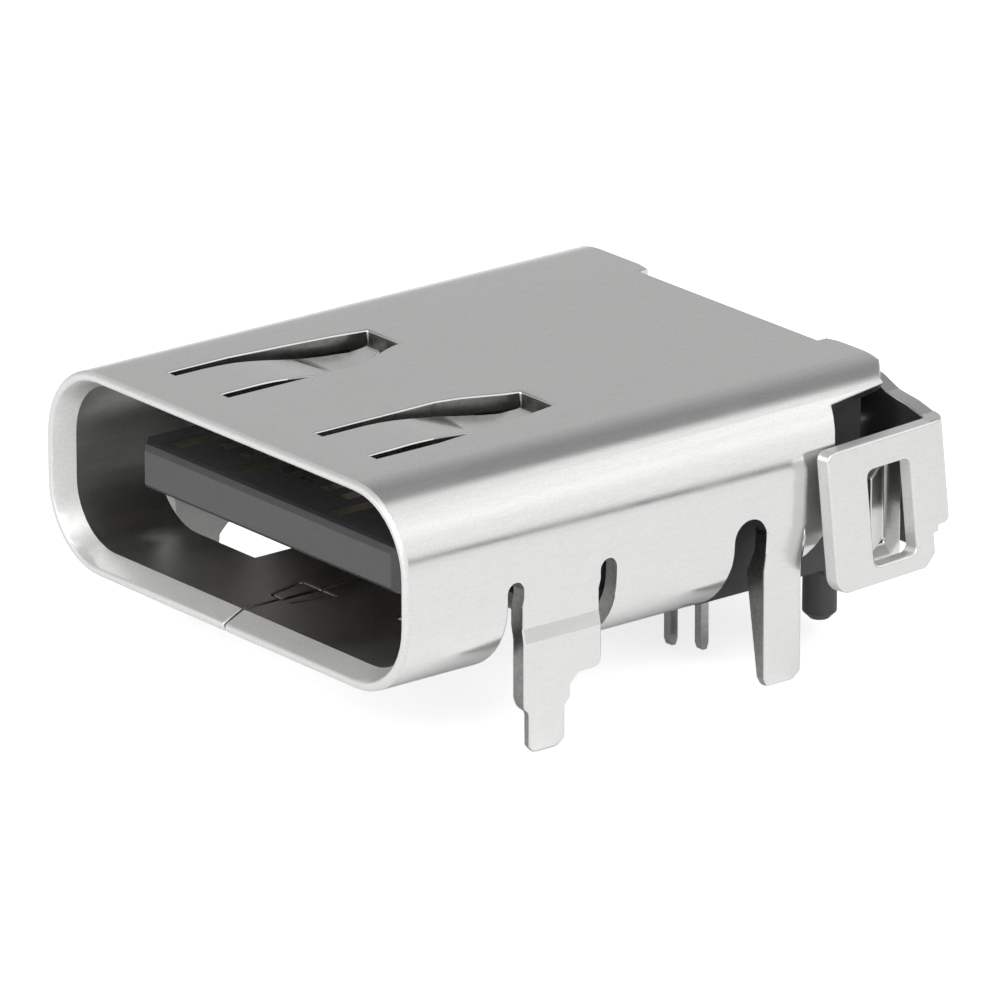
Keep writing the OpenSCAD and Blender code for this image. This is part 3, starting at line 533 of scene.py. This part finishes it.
def dress(piece, slot, *stands_for):
    """Puts a finished piece on the one body and hides the nodes it stands for."""
    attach(piece, "root")
    if stands_for:
        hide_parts(*stands_for)
    print(piece.name, len(piece.data.polygons), "faces")


print("edges over", round(math.degrees(BEVEL_ANGLE)), "degrees are rounded")

# %% [markdown]
# ## Telling cut faces from plated faces
# Strip that is plated before it is blanked shows bare steel where it was cut, rougher
# and darker than the rolled face, and the cut's tone is darkened further as painted
# shade. A face of the tube belongs to a cut when it looks neither out of the wall nor
# into it. On the flat panels the wall faces up or down, on the sides it faces across,
# and round the corners away from the corner's centre. The legs hang below the tube and
# face across.

# %% Helper: mark the cut faces
CUTS_END = 9.7 * MM
ARM_SIDE, ARM_END = 4.3 * MM, 9.5 * MM
ROLL_DEPTH = 0.06 * MM


def wall_direction(point):
    """The way the tube's wall faces at this point, as a unit vector in X and Z."""
    centre_x = SHELL_HALF_W - CORNER_R
    centre_z = SHELL_TOP - CORNER_R
    x = abs(point.x) - centre_x
    z = abs(point.z) - centre_z
    if point.z < -SHELL_TOP:
        return Vector((math.copysign(1, point.x), 0, 0))
    if x <= 0:
        return Vector((0, 0, math.copysign(1, point.z)))
    if z <= 0:
        return Vector((math.copysign(1, point.x), 0, 0))
    return Vector((math.copysign(x, point.x), 0, math.copysign(z, point.z))).normalized()


def mark_faces(piece, rule):
    """Gives every face the material slot that the rule returns for its centre and normal."""
    counts = {}
    for polygon in piece.data.polygons:
        slot = rule(polygon.center, polygon.normal)
        polygon.material_index = slot
        counts[slot] = counts.get(slot, 0) + 1
    print(piece.name, "faces in each slot:", dict(sorted(counts.items())))


def shell_face(point, normal):
    """0 plated outside, 1 cut (bare steel with painted shade), 2 inside of the tube (painted shade), 3
    rim and its chamfer.
    """
    facing = normal.dot(wall_direction(point))
    if point.y < LEAD_DEPTH and normal.y < -0.2:
        return 3
    if facing < -0.4:
        return 2
    if abs(facing) < 0.35 and LEAD_DEPTH < point.y < CUTS_END:
        return 1
    return 0


def shield_face(point, normal):
    """0 plated outside, 1 cut, 2 inside of the arms."""
    if abs(point.x) > ARM_SIDE and point.y < ARM_END:
        if normal.x * point.x < 0 and abs(normal.x) > 0.7:
            return 2
        if abs(normal.x) < 0.3:
            return 1
    return 0


def near_outside(point):
    """True behind the rim, on or just under the level of the tube's top or sides."""
    by_top = point.z > SHELL_TOP - ROLL_DEPTH
    by_side = abs(point.x) > SHELL_HALF_W - ROLL_DEPTH
    return point.y > LEAD_DEPTH and (by_top or by_side)


print("cut faces are looked for up to", round(CUTS_END / MM, 1), "mm behind the rim")

# %% [markdown]
# ## The folded shell
# The shell is one stamped sheet, so it stays one piece with four materials: bright
# outside, bare cut with painted shade, inside toned darker as painted shade, and satin
# rim. The material goes on face by face before the edges are softened, because the
# strips then take it from their neighbours.

# %% Shell skin
SHELL_EDGE = 0.035 * MM
shell_skin = merged_copy("shell", "shell_skin")
for material in (shell_plating, sheared_edge_and_shade, shade_painted_inner_plating, satin_plating):
    shell_skin.data.materials.append(material)
mark_faces(shell_skin, shell_face)
soften(shell_skin, SHELL_EDGE, near_outside)
dress(shell_skin, "shell_metal", "shell")

# %% [markdown]
# ## The rear shield
# The cover closes the back and reaches round both sides with two windowed arms. The
# arms' cut faces and insides scatter light, so both take the satin plating, and the
# rest is bright. Its edges are rounded a little more than the shell's.

# %% Rear shield skin
SHIELD_EDGE = 0.05 * MM
shield_skin = merged_copy("rear_shield", "shield_skin")
for material in (shield_plating, satin_plating, satin_plating):
    shield_skin.data.materials.append(material)
mark_faces(shield_skin, shield_face)
soften(shield_skin, SHIELD_EDGE)
dress(shield_skin, "shield_metal", "rear_shield")

# %% [markdown]
# ## The moulded body
# A mould tool has sharp corners, so the body's edges are rounded only as much as a
# worn tool would leave them. A narrow bevel is enough to catch a line of light along
# the tongue.

# %% Housing skin
FINE_EDGE = 0.012 * MM
housing_skin = merged_copy("housing", "housing_skin")
housing_skin.data.materials.append(body_moulding)
soften(housing_skin, FINE_EDGE)
dress(housing_skin, "black_plastic", "housing")

# %% [markdown]
# ## Contact rows
# Each row is twelve blades of two lengths: ground and supply reach further forward, so
# they touch the plug first. Copying by hand would work, but Geometry Nodes say the rule
# itself: a line of twelve points at the pitch, the long blade on the first, fourth,
# ninth and twelfth, the short one on the rest. The result is made real and turned into
# a plain mesh, because instances would be lost later.

# %% Geometry nodes: contact row
ROW_COUNT = 12
ROW_PITCH = 0.5 * MM
ROW_MIDDLE = (ROW_COUNT - 1) / 2
END_OFF_MIDDLE = 5.5
SUPPLY_OFF_MIDDLE = 2.5


def contact_row_tree():
    """Lays two blades along X, the long one at both ends and in the fourth and ninth places."""
    tree = bpy.data.node_groups.new("Contact_Row", "GeometryNodeTree")
    labels = {}
    for label, kind, value in (
            ("Pitch", "NodeSocketFloat", ROW_PITCH), ("Places", "NodeSocketInt", ROW_COUNT),
            ("Long Blade", "NodeSocketObject", None), ("Short Blade", "NodeSocketObject", None),
            ("Plating", "NodeSocketMaterial", None)):
        socket = tree.interface.new_socket(name=label, in_out="INPUT", socket_type=kind)
        if value is not None:
            socket.default_value = value
        labels[label] = socket.identifier
    tree.interface.new_socket(name="Row", in_out="OUTPUT", socket_type="NodeSocketGeometry")
    start, end = tree.nodes.new("NodeGroupInput"), tree.nodes.new("NodeGroupOutput")
    gaps = math_node(tree, "SUBTRACT", start.outputs["Places"], 1.0)
    reach = math_node(tree, "MULTIPLY", gaps, start.outputs["Pitch"])
    first = add(tree, "ShaderNodeCombineXYZ")
    join(tree, math_node(tree, "MULTIPLY", reach, -0.5), first.inputs["X"])
    step = add(tree, "ShaderNodeCombineXYZ")
    join(tree, start.outputs["Pitch"], step.inputs["X"])
    line = add(tree, "GeometryNodeMeshLine")
    join(tree, start.outputs["Places"], line.inputs["Count"])
    join(tree, first.outputs[0], line.inputs["Start Location"])
    join(tree, step.outputs[0], line.inputs["Offset"])
    place = tree.nodes.new("GeometryNodeInputIndex").outputs[0]
    off_middle = math_node(tree, "SUBTRACT", place, ROW_MIDDLE)
    from_middle = math_node(tree, "ABSOLUTE", off_middle, 0.0)
    ends = math_node(tree, "GREATER_THAN", from_middle, END_OFF_MIDDLE - 0.5)
    supply = math_node(tree, "COMPARE", from_middle, SUPPLY_OFF_MIDDLE)
    supply.node.inputs[2].default_value = 0.1
    is_long = math_node(tree, "ADD", ends, supply)
    is_short = math_node(tree, "SUBTRACT", 1.0, is_long)
    gather = tree.nodes.new("GeometryNodeJoinGeometry")
    for blade, wanted in (("Short Blade", is_short), ("Long Blade", is_long)):
        shape = tree.nodes.new("GeometryNodeObjectInfo")
        join(tree, start.outputs[blade], shape.inputs["Object"])
        spots = tree.nodes.new("GeometryNodeInstanceOnPoints")
        join(tree, line.outputs["Mesh"], spots.inputs["Points"])
        join(tree, wanted, spots.inputs["Selection"])
        join(tree, shape.outputs["Geometry"], spots.inputs["Instance"])
        join(tree, spots.outputs["Instances"], gather.inputs[0])
    real = tree.nodes.new("GeometryNodeRealizeInstances")
    plate = tree.nodes.new("GeometryNodeSetMaterial")
    join(tree, gather.outputs[0], real.inputs[0])
    join(tree, real.outputs[0], plate.inputs["Geometry"])
    join(tree, start.outputs["Plating"], plate.inputs["Material"])
    join(tree, plate.outputs["Geometry"], end.inputs[0])
    return tree, labels


row_tree, row_inputs = contact_row_tree()
print("tree", row_tree.name, "takes", ", ".join(row_inputs))

# %% [markdown]
# ## Blades for the rows
# The tree needs a long and a short blade for each row. Both are softened copies of the
# row's first and second contact, moved to the middle, so the rows keep the solids' own
# shape and lie where the solids lie. The blades themselves go once the row is plain.

# %% Blades and rows


def blade(node, name):
    """One contact moved to the middle, with coined edges."""
    piece = merged_copy(node, name)
    low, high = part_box(node)
    middle = (low.x + high.x) / 2
    for vertex in piece.data.vertices:
        vertex.co.x -= middle
    return soften(piece, FINE_EDGE)


def contact_row(name, letter):
    """Builds a row and lets it stand for its twelve nodes."""
    long_blade = blade("contact_%s1" % letter, "long_blade_" + letter)
    short_blade = blade("contact_%s2" % letter, "short_blade_" + letter)
    row = bpy.data.objects.new(name, bpy.data.meshes.new(name))
    bpy.context.scene.collection.objects.link(row)
    modifier = row.modifiers.new("row", "NODES")
    modifier.node_group = row_tree
    modifier[row_inputs["Long Blade"]] = long_blade
    modifier[row_inputs["Short Blade"]] = short_blade
    modifier[row_inputs["Plating"]] = contact_plating
    first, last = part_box("contact_%s1" % letter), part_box("contact_%s12" % letter)
    modifier[row_inputs["Pitch"]] = abs(last[0].x - first[0].x) / (ROW_COUNT - 1)
    modifier[row_inputs["Places"]] = ROW_COUNT
    freeze(row)
    for spare in (long_blade, short_blade):
        bpy.data.objects.remove(spare)
    dress(row, "contact_gold", *["contact_%s%d" % (letter, i) for i in range(1, ROW_COUNT + 1)])


contact_row("upper_contacts", "a")
contact_row("lower_contacts", "b")

# %% [markdown]
# ## Nodes that keep their own shape
# The plates and the carriers are plain and mostly hidden, so their solids stay as they
# are. Only the material changes, and it is set on the object's slot, which leaves the
# imported mesh untouched. The plates' dark tone is painted shade for where they sit
# under the shell.

# %% Materials on the remaining nodes


def finish_node(node, material):
    """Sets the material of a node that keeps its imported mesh."""
    for slot in nodes[node].material_slots:
        slot.link = "OBJECT"
        slot.material = material
    print(node, "takes", material.name)


for carrier in ("upper_carrier", "lower_carrier"):
    finish_node(carrier, carrier_moulding)
# The plates' dark tone is painted shade for the pins and strips under the shell.
for plate in ("mid_plate", "upper_ground_plate", "lower_ground_plate"):
    finish_node(plate, shade_painted_spring_plate)

# %% [markdown]
# ## Floor
# A pale round sheet lies just under the leg tips. The lens should see clean white paper,
# yet the part's soft shadow has to stay. So the sheet takes light as pale paper does, and
# glows besides: strongly for the lens, and only faintly for rays that come off metal. A
# shadow then darkens the paper's own share and stays visible in the white.

# %% Floor
FLOOR_RADIUS = 70 * MM
FLOOR_MIDDLE = 5 * MM
FLOOR_CLEAR = 0.01 * MM
LENS_GLOW, METAL_GLOW = 0.7, 0.1
floor_mesh = bpy.data.meshes.new("floor")
shape = bmesh.new()
bmesh.ops.create_circle(shape, cap_ends=True, segments=64, radius=FLOOR_RADIUS)
shape.to_mesh(floor_mesh)
shape.free()
floor = bpy.data.objects.new("floor", floor_mesh)
floor.location = (0, FLOOR_MIDDLE, floor_height - FLOOR_CLEAR)
bpy.context.scene.collection.objects.link(floor)

paper = bpy.data.materials.new("Pale_Paper")
paper.use_nodes = True
tree = paper.node_tree
sheet = tree.nodes["Principled BSDF"]
sheet.inputs["Base Color"].default_value = (0.9, 0.9, 0.9, 1)
sheet.inputs["Roughness"].default_value = 0.9
rays = add(tree, "ShaderNodeLightPath")
mirrored = math_node(tree, "MAXIMUM", rays.outputs["Is Glossy Ray"], rays.outputs["Is Transmission Ray"])
glow = math_node(tree, "MULTIPLY_ADD", mirrored, METAL_GLOW)
lens_share = math_node(tree, "MULTIPLY", rays.outputs["Is Camera Ray"], LENS_GLOW)
join(tree, lens_share, glow.node.inputs[2])
sheet.inputs["Emission Color"].default_value = (1, 1, 1, 1)
join(tree, glow, sheet.inputs["Emission Strength"])
floor.data.materials.append(paper)
print("floor at", round(floor_height / MM, 3), "mm")

# %% [markdown]
# ## A studio in the sky
# Metal shows what surrounds it. Walls and cards could be modelled, but a world painted
# by direction is lighter and has no corners. The right half is a bright wall with a
# narrow dark gap just above the table's edge, and the left half dims with height. The
# lens itself sees plain white.

# %% World
HALVES_BLEND = 0.08
world = bpy.data.worlds.new("studio")
bpy.context.scene.world = world
world.use_nodes = True
tree = world.node_tree
tree.nodes.clear()
out = add(tree, "ShaderNodeOutputWorld")
direction = add(tree, "ShaderNodeTexCoord").outputs["Generated"]
split = add(tree, "ShaderNodeSeparateXYZ")
join(tree, direction, split.inputs[0])


def ramp_of(*stops):
    """Brightness against height; a stop is the sine of the angle over the table, and a value."""
    node = add(tree, "ShaderNodeValToRGB")
    elements = node.color_ramp.elements
    for spare in range(len(stops) - 2):
        elements.new(0.5)
    for element, (height, value) in zip(elements, stops):
        element.position = (height + 1) / 2
        element.color = (value, value, value, 1)
    join(tree, spread(tree, split.outputs["Z"], -1, 1), node.inputs["Fac"])
    return node.outputs["Color"]


bright_side = ramp_of(
    (-1, 0.95), (0.035, 0.95), (0.065, 0.04), (0.095, 0.04),
    (0.14, 1.0), (0.45, 1.05), (0.6, 1.25), (1, 0.8))
dim_side = ramp_of(
    (-1, 0.9), (0.02, 0.85), (0.06, 0.6), (0.2, 0.52),
    (0.45, 0.52), (0.74, 0.30), (1, 0.36))
to_the_right = spread(tree, split.outputs["X"], -HALVES_BLEND, HALVES_BLEND)
studio = mix_colours(tree, to_the_right, dim_side, bright_side)
rays = add(tree, "ShaderNodeLightPath")
sky = mix_colours(tree, rays.outputs["Is Camera Ray"], studio, (1.0, 1.0, 1.0))
light = add(tree, "ShaderNodeBackground")
join(tree, sky, light.inputs["Color"])
join(tree, light.outputs[0], out.inputs["Surface"])
print("world", world.name)

# %% [markdown]
# ## Lamps
# Two large soft lamps: a key from the front right, above the lens, and a low fill that
# reaches into the mouth.

# %% Lamps


def softbox(name, place, aim, size, power):
    """An area lamp at place, turned to face aim; places and sizes are in millimetres."""
    lamp = bpy.data.lights.new(name, "AREA")
    lamp.shape = "RECTANGLE"
    lamp.size, lamp.size_y = size[0] * MM, size[1] * MM
    lamp.energy = power
    rig = bpy.data.objects.new(name, lamp)
    rig.location = Vector(place) * MM
    rig.rotation_euler = (Vector(aim) - Vector(place)).to_track_quat("-Z", "Y").to_euler()
    bpy.context.scene.collection.objects.link(rig)


softbox("key", (60, -90, 110), (0, 5, 0), (90, 90), 0.09)
softbox("fill", (-20, -120, 20), (0, 0, 0), (80, 50), 0.03)
print("lamps:", [lamp.name for lamp in bpy.data.lights])

# %% [markdown]
# ## Camera
# A long lens from the front right, a little above: turned 51.4 degrees from straight
# ahead and 19.2 degrees down, 186 mm away, so the far edges converge only gently.

# %% Camera
TURN = math.radians(51.40)
DOWN = math.radians(19.24)
AIM = Vector((0.419, 5.0, -0.496)) * MM
DISTANCE = 186 * MM
forward = Vector((
    -math.sin(TURN) * math.cos(DOWN),
    math.cos(TURN) * math.cos(DOWN),
    -math.sin(DOWN)))
lens = bpy.data.cameras.new("camera")
lens.sensor_width = 36
lens.lens = 438.2
lens.clip_start = 0.01
lens.clip_end = 5
camera = bpy.data.objects.new("camera", lens)
camera.location = AIM - forward * DISTANCE
camera.rotation_euler = forward.to_track_quat("-Z", "Y").to_euler()
bpy.context.scene.collection.objects.link(camera)
bpy.context.scene.camera = camera
bpy.context.scene.view_settings.view_transform = "Standard"
print("camera at", [round(v / MM, 1) for v in camera.location])
